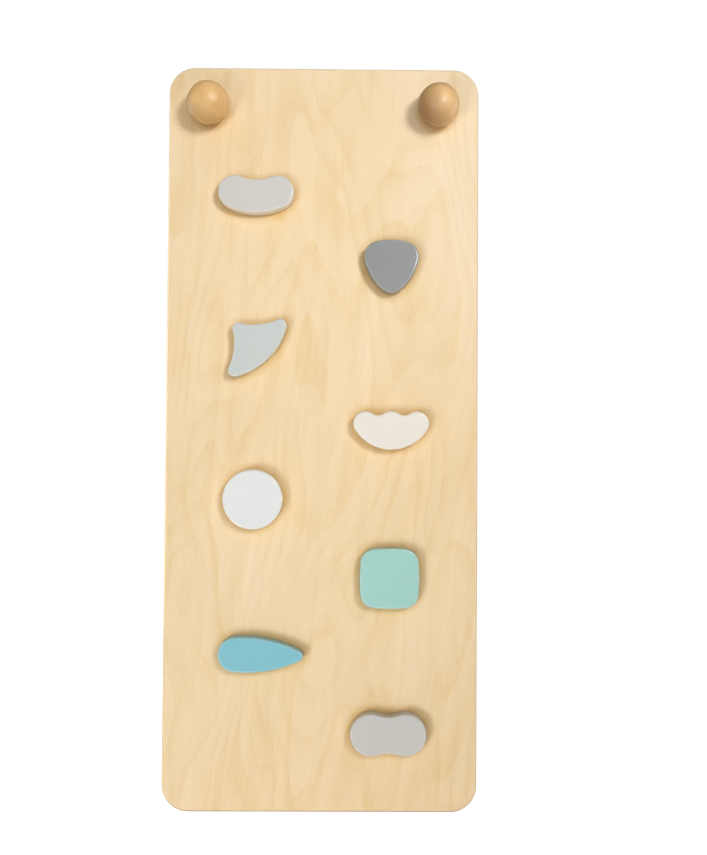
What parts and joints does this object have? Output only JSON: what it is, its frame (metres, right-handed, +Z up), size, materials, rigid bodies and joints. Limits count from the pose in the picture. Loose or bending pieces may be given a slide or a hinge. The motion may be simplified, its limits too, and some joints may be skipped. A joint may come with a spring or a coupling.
{
  "type": "rock climbing wall",
  "caption": "Upright plywood climbing panel with rounded corners, low painted wooden holds, turned ball grips near the top and rear hook blocks that hang it over a rung.",
  "frame": {"origin": "middle of the board's bottom edge face, half way through the board's thickness", "axes": "+Z up the board, +X to the right seen from the climbing face, and the climbing face looks along -Y"},
  "size_m": [0.42, 0.1301, 1],
  "materials": {
    "birch_plywood": "clear matt varnish",
    "paint_warm_grey": "satin paint",
    "paint_mid_grey": "satin paint",
    "paint_blue_grey": "satin paint",
    "paint_cream": "satin paint",
    "paint_white": "satin paint",
    "paint_mint": "satin paint",
    "paint_teal": "satin paint",
    "paint_taupe": "satin paint",
    "turned_beech": "satin oil",
    "hook_plywood": "clear matt varnish",
    "zinc_screw": "yellow zinc",
    "zinc_bolt": "bright zinc",
    "brass_insert": "plain"
  },
  "bodies": {
    "root": {"climbing_board": "birch_plywood", "hold_bean": "paint_warm_grey", "screws_bean": "zinc_screw", "hold_pick": "paint_mid_grey", "screws_pick": "zinc_screw", "hold_fin": "paint_blue_grey", "screws_fin": "zinc_screw", "hold_cloud": "paint_cream", "screws_cloud": "zinc_screw", "hold_disc": "paint_white", "screws_disc": "zinc_screw", "hold_square": "paint_mint", "screws_square": "zinc_screw", "hold_drop": "paint_teal", "screws_drop": "zinc_screw", "hold_peanut": "paint_taupe", "screws_peanut": "zinc_screw", "ball_grip_left": "turned_beech", "ball_insert_left": "brass_insert", "ball_bolt_left": "zinc_bolt", "ball_washer_left": "zinc_bolt", "rung_hook_left": "hook_plywood", "hook_screws_left": "zinc_screw", "ball_grip_right": "turned_beech", "ball_insert_right": "brass_insert", "ball_bolt_right": "zinc_bolt", "ball_washer_right": "zinc_bolt", "rung_hook_right": "hook_plywood", "hook_screws_right": "zinc_screw"}
  },
  "joints": []
}
